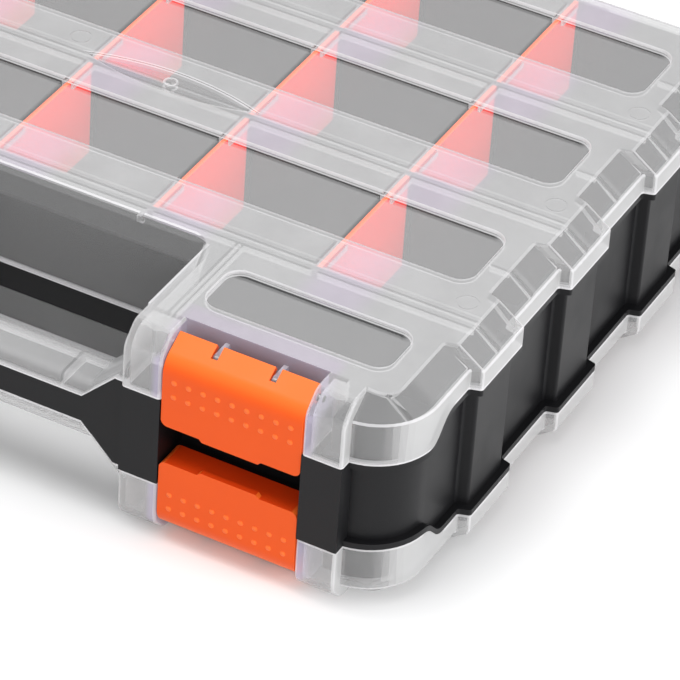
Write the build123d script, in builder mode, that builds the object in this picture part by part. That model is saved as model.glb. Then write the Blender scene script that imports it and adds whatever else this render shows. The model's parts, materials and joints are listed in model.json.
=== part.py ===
from build123d import *
import math
import os

# Compartment storage box with a lid on both faces. Sizes in mm, +Z up, front towards -Y.
# The origin is at the bottom, midway between the sides and midway from front to back.

# overall
width = 320.0
height = 80.0
front_y = -135.0
back_y = 130.0
mid_z = height / 2
half_width = width / 2

# side panels: outer panels stand at the row walls, inner panels between them
panel_step = 4.2
panel_step_run = 1.3
panel_radius = 1.2
outer_panel_length = 28.6
slope_height = 7.0
side_slope = 9.8
recess_slope = 7.0
edge_bevel = 0.5
corner_radius = 22.0
top_corner_radius = 6.0
back_corner_radius = 8.0
top_back_corner_radius = 5.0
least_radius = 1.0
recess_radius = 7.0

# front: two lobes with the latches, a finger gap between them, rounded corners outside them
lobe_inner_x = half_width - 103.0
lobe_outer_x = half_width - 23.2
lobe_radius = 1.2
pocket_back_y = front_y + 15.5
corner_front_y = front_y + 4.5
corner_hidden = 10.0
recess_y = front_y + 50.0
lobe_top_run = 9.5
lobe_bulge = 1.3
latch_pocket_width = 51.2

# heights at which the top lid meets the case
side_part_z = mid_z + 25.5
lobe_part_z = mid_z + 17.0
core_part_z = mid_z + 5.0
part_gap = 0.1
flare_run = 12.0
flare_start_x = lobe_inner_x - 15.5
curve_front_y = front_y + 23.0
curve_back_y = front_y + 39.0

# walls and clearances
lid_wall = 2.0
skin_wall = 1.8
skin_gap = 0.4
flange_height = 2.2
lip_above_part = 5.0
floor_thickness = 2.0
wall_thickness = 2.0
top_gap = 0.4

# compartments
rows = 3
columns = 5
front_wall_y = front_y + 64.0
rear_wall_inset = 9.3
row_pitch = (back_y - rear_wall_inset - front_wall_y) / rows
end_column_inset = 7.0
column_pitch = (width - 2 * end_column_inset) / columns
divider_thickness = 1.6
divider_end_gap = 0.3
guide_width = 1.2
guide_depth = 1.5
guide_drop = 3.0
divider_drop = 0.3
rear_wall_drop = 2.0

# lid top
window_depth = 1.0
window_length = 30.1
window_side_margin = 22.3
window_radius = 6.0
window_edge = 0.8
pocket_window_length = 22.0
pocket_window_left = lobe_inner_x + 13.2
pocket_window_right = lobe_outer_x + 0.4
pocket_window_y = front_y + 36.3
rib_height = 2.4
rib_width = 1.0
rib_play = 0.45
rear_rib_stop = 4.0
rib_end_margin = 0.8
slope_rib_width = 1.8
slope_rib_depth = 1.4
corner_rib_y = front_y + 16.6
weld = 0.4
pocket_rib_x = lobe_inner_x + 7.5
nub_width = 1.6
nub_length = 2.4
gap_nub_height = 3.6
nub_drop = 0.1
mark_radius = 4.0
mark_line = 0.7
mark_depth = 0.15
mark_side_margin = 17.5
mark_offset = 7.0
middle_mark_x = -39.6
oval_length = 68.0
oval_width = 12.4
oval_depth = 0.4
oval_ring_radius = 2.6

# handle
handle_front_y = front_y + 2.0
handle_back_y = front_y + 20.0
handle_height = 23.2
handle_edge = 3.5
handle_wall = 1.8
handle_flare_x = lobe_inner_x - 12.4
handle_rib_x = lobe_inner_x - 24.0
handle_rib_inset = 1.0

# latches
latch_side_gap = 0.35
latch_plate = 2.0
latch_face_y = front_y + 0.4
latch_lip_z = mid_z + 7.3
latch_bend_z = height - 8.2
latch_top_y = front_y + 10.8
latch_top_z = height - 2.0
latch_hook_tip_y = front_y + 11.0
latch_tab_drop = 1.1
latch_tab_width = 22.5
latch_corner = 2.5
latch_bend_radius = 8.0
pivot_y = front_y + 9.2
pivot_z = height - 6.1
pivot_radius = 1.2
pivot_play = 0.05
barrel_radius = 2.3
lug_radius = 2.0
lug_width = 1.6
lug_play = 0.4
lug_offset = 10.5
dot_ball_radius = 1.6
dot_height = 0.4
dots_per_row = 9
dot_pitch = 5.25
dot_rows_z = (mid_z + 25.4, mid_z + 19.8)
catch_gap = 0.2
catch_height = 4.4

# rear hinges
hinge_x = width / 4
hinge_knuckle_length = 12.0
hinge_knuckle_gap = 0.3
hinge_radius = 3.2
hinge_pin_radius = 1.5
hinge_pin_play = 0.05
hinge_y = back_y + 1.8
hinge_notch_gap = 0.7
hinge_side_gap = 0.2

crease_z = height - slope_height
slope_angle = math.atan2(slope_height, side_slope)
lobe_middle_x = (lobe_inner_x + lobe_outer_x) / 2
pocket_left_x = lobe_middle_x - latch_pocket_width / 2
pocket_right_x = lobe_middle_x + latch_pocket_width / 2
corner_start_x = lobe_outer_x - corner_hidden
skin_outer = lid_wall + skin_gap
skin_inner = skin_outer + skin_wall
skin_top_z = side_part_z + lip_above_part
floor_top_z = mid_z + floor_thickness / 2
compartment_top_z = height - lid_wall - top_gap
flare_end_x = flare_start_x + flare_run
over = 10.0
reach = half_width + 2 * over
row_wall_ys = [front_wall_y + row * row_pitch for row in range(rows + 1)]
divider_xs = [(column - (columns - 2) / 2) * column_pitch for column in range(columns - 1)]


def outline_points(top, inset):
    """Right half of the outline seen from above: top 0 at the crease, 1 at the flat face."""
    slanted = inset * math.tan(slope_angle / 2) if top else inset
    inner_x = half_width - panel_step - top * side_slope - slanted
    outer_x = inner_x + panel_step
    corner_y = corner_front_y + top * side_slope + slanted
    gap_y = recess_y + top * recess_slope + slanted
    rear_y = back_y - top * side_slope - slanted
    points = [(lobe_inner_x + inset, gap_y), (lobe_inner_x + inset, pocket_back_y + inset)]
    points += [(corner_start_x + inset, pocket_back_y + inset), (corner_start_x + inset, corner_y)]
    points += [(inner_x, corner_y)]
    half_panel = outer_panel_length / 2 - slanted
    for wall_y in row_wall_ys:
        points += [(inner_x, wall_y - half_panel - panel_step_run), (outer_x, wall_y - half_panel)]
        if wall_y < row_wall_ys[-1]:
            points += [(outer_x, wall_y + half_panel), (inner_x, wall_y + half_panel + panel_step_run)]
    return points + [(outer_x, rear_y)]


def outline_face(top, inset, z, steps_rounded=True):
    """Closed outline as a face at height z, with its corners rounded."""
    right = outline_points(top, inset)
    left = [(-x, y) for x, y in reversed(right)]
    front_radius = corner_radius + top * (top_corner_radius - corner_radius) - inset
    rear_radius = back_corner_radius + top * (top_back_corner_radius - back_corner_radius) - inset
    rounds = [(right[0], recess_radius + inset), (right[4], max(front_radius, least_radius))]
    rounds += [(right[-1], max(rear_radius, least_radius))]
    if steps_rounded:
        rounds += [(point, panel_radius) for point in right[5:-1]]
    with BuildSketch(Plane.XY.offset(z)) as face:
        with BuildLine():
            Polyline(*right, *left, close=True)
        make_face()
        for (x, y), radius in rounds:
            picked = [v for v in face.vertices() if math.hypot(abs(v.X) - x, v.Y - y) < 0.01]
            fillet(picked, radius)
    return face.sketch


def upper_body(inset, base_z):
    """Upper half of the main body, pulled in on every wall by inset."""
    turn_z = crease_z - inset * math.tan((math.pi / 2 - slope_angle) / 2)
    foot = outline_face(0, inset, base_z, False)
    crease = outline_face(0, inset, turn_z, False)
    flat = outline_face(1, inset, height - inset, False)
    with BuildPart() as body:
        add(extrude(foot, amount=turn_z - base_z, dir=(0, 0, 1), mode=Mode.PRIVATE))
        add(loft([crease, flat], ruled=True, mode=Mode.PRIVATE))
    return body.part


def outer_body(base_z):
    """Outside of the upper half, with narrow bevels along the crease and round the flat top."""
    part = edge_bevel / side_slope
    low, high = crease_z + part * slope_height, height - part * slope_height
    levels = [(0, crease_z - edge_bevel), (part, low), (1 - part, high), (1 + part, height)]
    faces = [outline_face(top, 0, z) for top, z in levels]
    with BuildPart() as body:
        foot = outline_face(0, 0, base_z)
        add(extrude(foot, amount=crease_z - edge_bevel - base_z, dir=(0, 0, 1), mode=Mode.PRIVATE))
        for below, above in zip(faces, faces[1:]):
            add(loft([below, above], ruled=True, mode=Mode.PRIVATE))
    return body.part


def ring(outer_inset, inner_inset, low_z, high_z):
    """Wall that follows the outline between two insets and two heights."""
    outer = outline_face(0, outer_inset, low_z)
    inner = outline_face(0, inner_inset, low_z)
    with BuildPart() as wall:
        add(extrude(outer, amount=high_z - low_z, dir=(0, 0, 1), mode=Mode.PRIVATE))
        add(extrude(inner, amount=high_z - low_z, dir=(0, 0, 1), mode=Mode.PRIVATE), mode=Mode.SUBTRACT)
    return wall.part


def block(low, high):
    """Box between two corners."""
    size = [b - a for a, b in zip(low, high)]
    middle = [(a + b) / 2 for a, b in zip(low, high)]
    with BuildPart() as body:
        with Locations(tuple(middle)):
            Box(*size)
    return body.part


def x_prism(points, low_x, high_x):
    """Prism along X over a polygon given as (y, z) points."""
    with BuildPart() as body:
        with BuildSketch(Plane.YZ.offset(low_x)):
            with BuildLine():
                Polyline(*points, close=True)
            make_face()
        extrude(amount=high_x - low_x)
    return body.part


def y_prism(points, low_y, high_y):
    """Prism along Y over a polygon given as (x, z) points."""
    with BuildPart() as body:
        with BuildSketch(Plane.XZ.offset(-low_y)):
            with BuildLine():
                Polyline(*points, close=True)
            make_face()
        extrude(amount=low_y - high_y)
    return body.part


def x_cylinder(radius, low_x, high_x, y, z):
    """Round bar along X."""
    with BuildPart() as body:
        with BuildSketch(Plane.YZ.offset(low_x)):
            with Locations((y, z)):
                Circle(radius)
        extrude(amount=high_x - low_x)
    return body.part


def other_side(shape):
    """Copy on the left of the box."""
    return mirror(shape, about=Plane.YZ)


def other_face(shape):
    """Copy on the bottom face of the box."""
    return mirror(shape, about=Plane.XY.offset(mid_z))


def above_parting(rise):
    """Everything above the surface where the top lid meets the case, moved up by rise."""
    top = height + over
    far_front = front_y - over
    low = core_part_z + rise
    lobe = lobe_part_z + rise
    side = side_part_z + rise
    inner_limit = lobe_middle_x
    profile = [(-inner_limit, lobe), (-flare_end_x, lobe), (-flare_start_x, low), (flare_start_x, low)]
    profile += [(flare_end_x, lobe), (inner_limit, lobe), (inner_limit, top), (-inner_limit, top)]
    front = y_prism(profile, far_front, front_wall_y - wall_thickness)
    with BuildPart() as corner:
        with BuildSketch(Plane.YZ.offset(inner_limit)):
            with BuildLine():
                start = (curve_front_y, lobe)
                end = (curve_back_y, side)
                Polyline(end, (curve_back_y, top), (far_front, top), (far_front, lobe), start)
                Spline(start, end, tangents=[(1, 0), (1, 0)])
            make_face()
        extrude(amount=reach - inner_limit)
    with BuildPart() as region:
        add(block((-reach, far_front, side), (reach, back_y + 2 * over, top)))
        add(front)
        add(corner.part)
        add(other_side(corner.part))
    return region.part


def lobe_solid(low_x, high_x, inset, low_z, back, radius=0.0):
    """Front lobe between two x values: upright front that curves over to the flat top."""
    face_y = front_y + inset
    top_z = height - inset
    bend = (face_y, height - lobe_top_run)
    crest = (front_y + lobe_top_run, top_z)
    middle = ((bend[0] + crest[0]) / 2 - lobe_bulge, (bend[1] + crest[1]) / 2 + lobe_bulge)
    with BuildPart() as body:
        with BuildSketch(Plane.YZ.offset(low_x)):
            with BuildLine():
                Polyline(crest, (back, top_z), (back, low_z), (face_y, low_z), bend)
                Spline(bend, middle, crest, tangents=[(0, 1), (1, 0)])
            make_face()
        extrude(amount=high_x - low_x)
        if radius:
            ends = [f.edges() for f in body.faces() if abs(f.normal_at().X) > 0.99]
            rims = [e for edges in ends for e in edges if e.center().Z > low_z + 0.01]
            fillet([e for e in rims if e.center().Y < back - 0.01], radius)
    return body.part


def handle_bar(inset, low_z):
    """Upper half of the handle with its flares, pulled in by inset."""
    top_z = mid_z + handle_height / 2 - inset
    end_x = lobe_inner_x + lid_wall / 2
    flare = end_x - handle_flare_x
    points = [(-end_x, low_z), (end_x, low_z), (end_x, top_z + flare), (handle_flare_x, top_z)]
    points += [(-handle_flare_x, top_z), (-end_x, top_z + flare)]
    bar = y_prism(points, handle_front_y + inset, handle_back_y - inset)
    long_edges = [e for e in bar.edges() if e.center().Z > top_z - 0.01 and abs(e.tangent_at(0.5).Y) < 0.01]
    long_edges = [e for e in long_edges if abs(e.center().X) < end_x - 0.01]
    with BuildPart() as body:
        add(bar)
        kept = [e for e in body.edges() if any((e.center() - k.center()).length < 0.01 for k in long_edges)]
        fillet(kept, max(handle_edge - inset, 0.5))
    return body.part


def rounded_cut(low_x, high_x, low_y, high_y, radius, low_z, high_z):
    """Upright prism over a rounded rectangle."""
    with BuildPart() as body:
        with BuildSketch(Plane.XY.offset(low_z)):
            with Locations(((low_x + high_x) / 2, (low_y + high_y) / 2)):
                RectangleRounded(high_x - low_x, high_y - low_y, radius)
        extrude(amount=high_z - low_z)
    return body.part


def window_fields():
    """Plan limits of the clear windows, one per row and one per corner pocket."""
    side = half_width - window_side_margin
    fields = []
    for wall_y in row_wall_ys[:-1]:
        middle = wall_y + row_pitch / 2
        fields.append((-side, side, middle - window_length / 2, middle + window_length / 2))
    low, high = pocket_window_y - pocket_window_length / 2, pocket_window_y + pocket_window_length / 2
    fields.append((pocket_window_left, pocket_window_right, low, high))
    fields.append((-pocket_window_right, -pocket_window_left, low, high))
    return fields


def window_cuts():
    """Shallow recesses of the clear windows."""
    floor_z = height - window_depth
    return [rounded_cut(*field, window_radius, floor_z, height + over) for field in window_fields()]


def window_rims(body):
    """Edges round the windows, in the flat top of the body."""
    rims = []
    for edge in body.edges():
        middle = edge.center()
        if abs(middle.Z - height) > 0.01 or abs(edge.tangent_at(0.5).Z) > 0.01:
            continue
        for low_x, high_x, low_y, high_y in window_fields():
            if low_x - 0.01 < middle.X < high_x + 0.01 and low_y - 0.01 < middle.Y < high_y + 0.01:
                rims.append(edge)
    return rims


def row_ribs():
    """Pairs of ribs under the lid that straddle each row wall, broken at the dividers."""
    low_z = height - lid_wall - rib_height
    high_z = height - lid_wall / 2
    clear = divider_thickness / 2 + rib_play
    end = half_width - side_slope - rib_end_margin
    stops = [-end - clear] + divider_xs + [end + clear]
    ribs = []
    for wall_y in row_wall_ys[:-1]:
        for side in (-1, 1):
            near = wall_y + side * (wall_thickness / 2 + rib_play)
            far = near + side * rib_width
            for left, right in zip(stops, stops[1:]):
                low, high = min(near, far), max(near, far)
                ribs.append(block((left + clear, low, low_z), (right - clear, high, high_z)))
    return ribs


def divider_ribs():
    """Pairs of ribs under the frosted bands that straddle each divider."""
    low_z = height - lid_wall - rib_height
    high_z = height - lid_wall / 2
    clear = divider_thickness / 2 + rib_play
    end = wall_thickness / 2 + rib_play
    margin = (row_pitch - window_length) / 2 - rib_play
    ribs = []
    for near_y, far_y in zip(row_wall_ys, row_wall_ys[1:]):
        stop = rear_rib_stop if far_y == row_wall_ys[-1] else 0
        for x in divider_xs:
            for side in (-1, 1):
                low_x, high_x = sorted((x + side * clear, x + side * (clear + rib_width)))
                ribs.append(block((low_x, near_y + end, low_z), (high_x, near_y + margin, high_z)))
                ribs.append(block((low_x, far_y - margin, low_z), (high_x, far_y - end - stop, high_z)))
    return ribs


def side_ribs():
    """Short ribs from the end of each window to the crease, in line with the ribs in the slopes."""
    low_x = half_width - window_side_margin + rib_play
    high_x = half_width - panel_step - side_slope - rib_end_margin
    low_z = height - lid_wall - rib_height
    ribs = []
    for wall_y in row_wall_ys[:-1]:
        y = wall_y + row_pitch / 2
        low = (low_x, y - rib_width / 2, low_z)
        ribs.append(block(low, (high_x, y + rib_width / 2, height - lid_wall / 2)))
    return ribs + [other_side(rib) for rib in ribs]


def slope_ribs():
    """Flat ribs inside the sloped sides, one in the middle of each side panel and one in each corner."""
    turn_z = crease_z - lid_wall * math.tan((math.pi / 2 - slope_angle) / 2)
    top_z = height - lid_wall
    flat_in = lid_wall * math.tan(slope_angle / 2)
    centres = [(wall_y, half_width) for wall_y in row_wall_ys]
    centres += [(wall_y + row_pitch / 2, half_width - panel_step) for wall_y in row_wall_ys[:-1]]
    corner_rise = math.sqrt(corner_radius ** 2 - (corner_front_y + corner_radius - corner_rib_y) ** 2)
    centres += [(corner_rib_y, half_width - panel_step - corner_radius + corner_rise)]
    ribs = []
    for y, face_x in centres:
        foot_x = face_x - lid_wall
        head_x = face_x - side_slope - flat_in
        profile = [(foot_x + weld, turn_z + weld), (head_x + weld, top_z + weld)]
        profile += [(head_x - slope_rib_depth, top_z + weld), (foot_x - weld, turn_z - slope_rib_depth)]
        ribs.append(y_prism(profile, y - slope_rib_width / 2, y + slope_rib_width / 2))
    return ribs + [other_side(rib) for rib in ribs]


def pocket_ribs():
    """Pair of ribs under the lid along the inner side of each corner pocket."""
    low_z = height - lid_wall - rib_height
    high_z = height - lid_wall / 2
    ribs = []
    for x in (pocket_rib_x - rib_width, pocket_rib_x + rib_width):
        low = (x - rib_width / 2, pocket_back_y + lid_wall, low_z)
        high = (x + rib_width / 2, front_wall_y - wall_thickness - rib_play, high_z)
        ribs.append(block(low, high))
    return ribs + [other_side(rib) for rib in ribs]


def nubs():
    """Small stubs on the rear edge of each window at the dividers, and two at the finger gap."""
    half = nub_width / 2
    floor_z = height - window_depth - weld
    stubs = []
    for wall_y in row_wall_ys[:-1]:
        edge = wall_y + (row_pitch + window_length) / 2
        for x in divider_xs:
            low = (x - half, edge - nub_length, floor_z)
            stubs.append(block(low, (x + half, edge + window_edge + weld, height - nub_drop)))
    edge = recess_y + recess_slope
    for x in (-column_pitch / 2, column_pitch / 2):
        low = (x - half, edge - nub_length, height - gap_nub_height)
        stubs.append(block(low, (x + half, edge + weld, height)))
    return stubs


def top_marks():
    """Faint ring grooves on the frosted bands and the bare oval in the middle of the first band."""
    band_y = row_wall_ys[1]
    places = [(half_width - mark_side_margin, y + mark_offset) for y in row_wall_ys[:-1]]
    places += [(-x, y) for x, y in places] + [(middle_mark_x, band_y + mark_offset)]
    with BuildPart() as grooves:
        with BuildSketch(Plane.XY.offset(height - mark_depth)):
            with Locations(*places):
                Circle(mark_radius)
                Circle(mark_radius - mark_line, mode=Mode.SUBTRACT)
        extrude(amount=mark_depth + over)
    with BuildPart() as oval:
        with BuildSketch(Plane.XY.offset(height - oval_depth)):
            with BuildLine():
                left, right = (-oval_length / 2, band_y), (oval_length / 2, band_y)
                ThreePointArc(left, (0, band_y + oval_width / 2), right)
                ThreePointArc(right, (0, band_y - oval_width / 2), left)
            make_face()
            with Locations((0, band_y)):
                Circle(oval_ring_radius, mode=Mode.SUBTRACT)
                Circle(oval_ring_radius - mark_line, mode=Mode.ADD)
        extrude(amount=oval_depth + over)
    return [grooves.part, oval.part]


def hinge_spans(owner):
    """X ranges of the hinge knuckles that belong to the case or to the lid."""
    step = hinge_knuckle_length + hinge_knuckle_gap
    offsets = (-step, step) if owner == "case" else (0,)
    half = hinge_knuckle_length / 2
    return [(c + o - half, c + o + half) for c in (-hinge_x, hinge_x) for o in offsets]


def knuckle(span, up):
    """Hinge knuckle with its arm: up is 1 for the lid's side and -1 for the case's side."""
    diagonal = hinge_radius * math.sqrt(0.5)
    root_y = back_y - weld - (skin_outer if up < 0 else 0)
    level = side_part_z + up * part_gap
    far = (hinge_y + diagonal, side_part_z + up * diagonal)
    foot_z = far[1] + up * (far[0] - root_y)
    profile = [(root_y, level), (hinge_y, level), far, (root_y, foot_z)]
    with BuildPart() as body:
        add(x_cylinder(hinge_radius, span[0], span[1], hinge_y, side_part_z))
        add(x_prism(profile, span[0], span[1]))
    return body.part


def hinge_tools(spans, radius):
    """Bars along the hinge line, to clear or drill the given spans."""
    gap = hinge_side_gap
    return [x_cylinder(radius, low - gap, high + gap, hinge_y, side_part_z) for low, high in spans]


def knuckles(owner, carrier):
    """Drilled hinge knuckles of the top hinges that stand on the carrier, which is cut out of them."""
    up, play = (1, hinge_pin_play) if owner == "lid" else (-1, 0)
    with BuildPart() as row:
        add([knuckle(span, up) for span in hinge_spans(owner)])
        add(carrier, mode=Mode.SUBTRACT)
        add(hinge_tools(hinge_spans(owner), hinge_pin_radius + play), mode=Mode.SUBTRACT)
    return row.part


def between_lobes(shape):
    """What of a shape lies between the inner faces of the two lobes."""
    with BuildPart() as middle:
        add(shape)
        low = (-lobe_inner_x, front_y - over, -over)
        add(block(low, (lobe_inner_x, back_y, height + over)), mode=Mode.INTERSECT)
    return middle.part


def lug(x):
    """Thin lug on the lid that carries the latch pin."""
    low_x, high_x = x - lug_width / 2, x + lug_width / 2
    back = pocket_back_y + lid_wall / 2
    with BuildPart() as body:
        add(x_cylinder(lug_radius, low_x, high_x, pivot_y, pivot_z))
        add(block((low_x, pivot_y, pivot_z - lug_radius), (high_x, back, pivot_z + lug_radius)))
    return body.part


def lid_solid():
    """The top lid in its closed place."""
    cheeks = [(lobe_inner_x, pocket_left_x), (pocket_right_x, lobe_outer_x)]
    with BuildPart() as lid:
        add(outer_body(mid_z))
        add(handle_bar(0, mid_z))
        for low_x, high_x in cheeks:
            cheek = lobe_solid(low_x, high_x, 0, mid_z, pocket_back_y + lid_wall / 2, lobe_radius)
            add([cheek, other_side(cheek)])
        add(upper_body(lid_wall, mid_z), mode=Mode.SUBTRACT)
        for low_x, high_x in cheeks:
            hollow = lobe_solid(low_x + lid_wall, high_x - lid_wall, lid_wall, mid_z, pocket_back_y)
            add([hollow, other_side(hollow)], mode=Mode.SUBTRACT)
        add(between_lobes(handle_bar(handle_wall, mid_z)), mode=Mode.SUBTRACT)
        add(window_cuts(), mode=Mode.SUBTRACT)
        fillet(window_rims(lid), window_edge)
        add(row_ribs() + divider_ribs() + side_ribs() + slope_ribs() + pocket_ribs() + nubs())
        for x in (-handle_rib_x, handle_rib_x):
            low = (x - rib_width / 2, handle_front_y + handle_rib_inset, mid_z)
            top_z = mid_z + handle_height / 2 - handle_rib_inset
            add(block(low, (x + rib_width / 2, handle_back_y - handle_rib_inset, top_z)))
        add(above_parting(0), mode=Mode.INTERSECT)
        add(top_marks(), mode=Mode.SUBTRACT)
        add(hinge_tools(hinge_spans("case"), hinge_radius + hinge_notch_gap), mode=Mode.SUBTRACT)
        for offset in (-lug_offset, lug_offset):
            ear = lug(lobe_middle_x + offset)
            add([ear, other_side(ear)])
        bore = x_cylinder(pivot_radius, pocket_left_x - lid_wall, pocket_right_x + lid_wall, pivot_y, pivot_z)
        add([bore, other_side(bore)], mode=Mode.SUBTRACT)
    return lid.part


def case_rim():
    """Rim of the case that stands out under the edge of the top lid."""
    with BuildPart() as rim:
        add(ring(0, skin_outer, mid_z, skin_top_z))
        add(above_parting(-part_gap), mode=Mode.SUBTRACT)
        with BuildPart(mode=Mode.PRIVATE) as kept:
            add(above_parting(-part_gap - flange_height))
            add(block((-lobe_inner_x, front_y - over, mid_z), (lobe_inner_x, front_wall_y, height)))
        add(kept.part, mode=Mode.INTERSECT)
        add(hinge_tools(hinge_spans("lid"), hinge_radius + hinge_notch_gap), mode=Mode.SUBTRACT)
    return rim.part


def case_shell_solid(mounts):
    """Wall of the case with its rims, cut to take the latch mounts."""
    rim = case_rim()
    with BuildPart() as shell:
        add([rim, other_face(rim)])
        add(mounts, mode=Mode.SUBTRACT)
        add(ring(skin_outer, skin_inner, height - skin_top_z, skin_top_z))
    return shell.part


def case_cheek(low_x, high_x):
    """Black front face beside the latches, hollow from above and below."""
    low_z = height - lobe_part_z + part_gap
    high_z = lobe_part_z - part_gap
    with BuildPart() as cheek:
        add(block((low_x, front_y, low_z), (high_x, pocket_back_y + skin_outer, high_z)))
        inner_low = (low_x + lid_wall, front_y + lid_wall)
        inner_high = (high_x - lid_wall, pocket_back_y)
        half_floor = floor_thickness / 2
        add(block((*inner_low, mid_z + half_floor), (*inner_high, high_z)), mode=Mode.SUBTRACT)
        add(block((*inner_low, low_z), (*inner_high, mid_z - half_floor)), mode=Mode.SUBTRACT)
    return cheek.part


def catch_ledge():
    """Ledge in the latch pocket that the hook of the top latch comes up to."""
    low_z = latch_lip_z + latch_plate + catch_gap
    low = (pocket_left_x, latch_hook_tip_y + catch_gap, low_z)
    return block(low, (pocket_right_x, pocket_back_y, low_z + catch_height))


def latch_mount_solid():
    """Front of the case round the right latches: two cheeks, the back of the pocket, two ledges."""
    low_z = height - lobe_part_z + part_gap
    back_low = (pocket_left_x, pocket_back_y, low_z)
    back_high = (pocket_right_x, pocket_back_y + skin_outer, lobe_part_z - part_gap)
    ledge = catch_ledge()
    with BuildPart() as mount:
        add([case_cheek(lobe_inner_x, pocket_left_x), case_cheek(pocket_right_x, lobe_outer_x)])
        add([block(back_low, back_high), ledge, other_face(ledge)])
        inside = outline_face(0, skin_outer, low_z - over)
        add(extrude(inside, amount=height, dir=(0, 0, 1), mode=Mode.PRIVATE), mode=Mode.SUBTRACT)
    return mount.part


def handle_core_solid():
    """Black middle of the handle, between the two lids' halves."""
    grip = between_lobes(handle_bar(0, mid_z))
    cut = above_parting(-part_gap)
    with BuildPart() as core:
        add([grip, other_face(grip)])
        add([cut, other_face(cut)], mode=Mode.SUBTRACT)
    return core.part


def row_wall_solid(index):
    """Upright wall along X on the top side, with guides for the dividers."""
    wall_y = row_wall_ys[index]
    end = half_width - skin_inner
    rear = index == rows
    top_z = compartment_top_z - (rear_wall_drop if rear else 0)
    shoulder = half_width - side_slope - lid_wall
    half = wall_thickness / 2
    profile = [(-end, floor_top_z), (end, floor_top_z), (end, skin_top_z), (shoulder, top_z)]
    profile += [(-shoulder, top_z), (-end, skin_top_z)]
    sides = [side for side, kept in ((-1, index > 0), (1, index < rows)) if kept]
    clear = divider_thickness / 2 + divider_end_gap
    with BuildPart() as wall:
        add(y_prism(profile, wall_y - half, wall_y + half))
        for side in sides:
            face = wall_y + side * half
            ends = sorted((face - side * weld, face + side * guide_depth))
            for x in divider_xs:
                for hand in (-1, 1):
                    span = sorted((x + hand * clear, x + hand * (clear + guide_width)))
                    low = (span[0], ends[0], floor_top_z)
                    high = (span[1], ends[1], compartment_top_z - guide_drop)
                    add(block(low, high))
    return wall.part


def divider_solid(row, x):
    """Removable plate between two row walls on the top side."""
    end = wall_thickness / 2 + divider_end_gap
    low = (x - divider_thickness / 2, row_wall_ys[row] + end, floor_top_z)
    high = (x + divider_thickness / 2, row_wall_ys[row + 1] - end, compartment_top_z - divider_drop)
    return block(low, high)


def latch_front(low_x, high_x):
    """Front view of the latch with rounded lower corners, as a deep block."""
    with BuildPart() as view:
        with BuildSketch(Plane.XZ.offset(over - front_y)) as sketch:
            with BuildLine():
                lip = [(low_x, latch_lip_z), (high_x, latch_lip_z)]
                Polyline(*lip, (high_x, height), (low_x, height), close=True)
            make_face()
            fillet(sketch.vertices().group_by(Axis.Z)[0], latch_corner)
        extrude(amount=front_y - over - pocket_back_y)
    return view.part


def latch_solid():
    """The top right latch in its closed place."""
    low_x = pocket_left_x + latch_side_gap
    high_x = pocket_right_x - latch_side_gap
    run, rise = latch_top_y - latch_face_y, latch_top_z - latch_bend_z
    length = math.hypot(run, rise)
    inner_y = latch_face_y + latch_plate
    under = (latch_top_y + latch_plate * rise / length, latch_top_z - latch_plate * run / length)
    inner_bend_z = under[1] - (under[0] - inner_y) * rise / run
    hook_z = latch_lip_z + latch_plate
    profile = [(latch_face_y, latch_lip_z), (latch_face_y, latch_bend_z), (latch_top_y, latch_top_z), under]
    profile += [(inner_y, inner_bend_z), (inner_y, hook_z), (latch_hook_tip_y, hook_z)]
    profile += [(latch_hook_tip_y, latch_lip_z)]
    tab = latch_tab_width / 2
    tab_profile = [(lobe_middle_x - tab, latch_lip_z + weld), (lobe_middle_x - tab, latch_lip_z)]
    tab_profile += [(lobe_middle_x - tab + latch_tab_drop, latch_lip_z - latch_tab_drop)]
    tab_profile += [(lobe_middle_x + tab - latch_tab_drop, latch_lip_z - latch_tab_drop)]
    tab_profile += [(lobe_middle_x + tab, latch_lip_z), (lobe_middle_x + tab, latch_lip_z + weld)]
    slot = lug_width / 2 + lug_play
    with BuildPart() as latch:
        add(x_prism(profile, low_x, high_x))
        bends = [e for e in latch.edges() if abs(e.center().Y - latch_face_y) < 0.01
                 and abs(e.center().Z - latch_bend_z) < 0.01]
        fillet(bends, latch_bend_radius)
        inner_bends = [e for e in latch.edges() if abs(e.center().Y - inner_y) < 0.01
                       and abs(e.center().Z - inner_bend_z) < 0.01]
        fillet(inner_bends, latch_bend_radius - latch_plate)
        add(latch_front(low_x, high_x), mode=Mode.INTERSECT)
        add(y_prism(tab_profile, latch_face_y, inner_y))
        add(x_cylinder(barrel_radius, low_x, high_x, pivot_y, pivot_z))
        for offset in (-lug_offset, lug_offset):
            x = lobe_middle_x + offset
            low = (x - slot, pivot_y - barrel_radius - lug_play, pivot_z - 2 * barrel_radius)
            add(block(low, (x + slot, pocket_back_y, height)), mode=Mode.SUBTRACT)
        add(x_cylinder(pivot_radius + pivot_play, low_x, high_x, pivot_y, pivot_z), mode=Mode.SUBTRACT)
        for row_z in dot_rows_z:
            for index in range(dots_per_row):
                x = lobe_middle_x + (index - (dots_per_row - 1) / 2) * dot_pitch
                with Locations((x, latch_face_y + dot_ball_radius - dot_height, row_z)):
                    Sphere(dot_ball_radius)
    return latch.part


def hinge_pin_solid(x):
    """Steel pin through one top hinge."""
    half = 1.5 * hinge_knuckle_length + hinge_knuckle_gap
    return x_cylinder(hinge_pin_radius, x - half, x + half, hinge_y, side_part_z)


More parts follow.
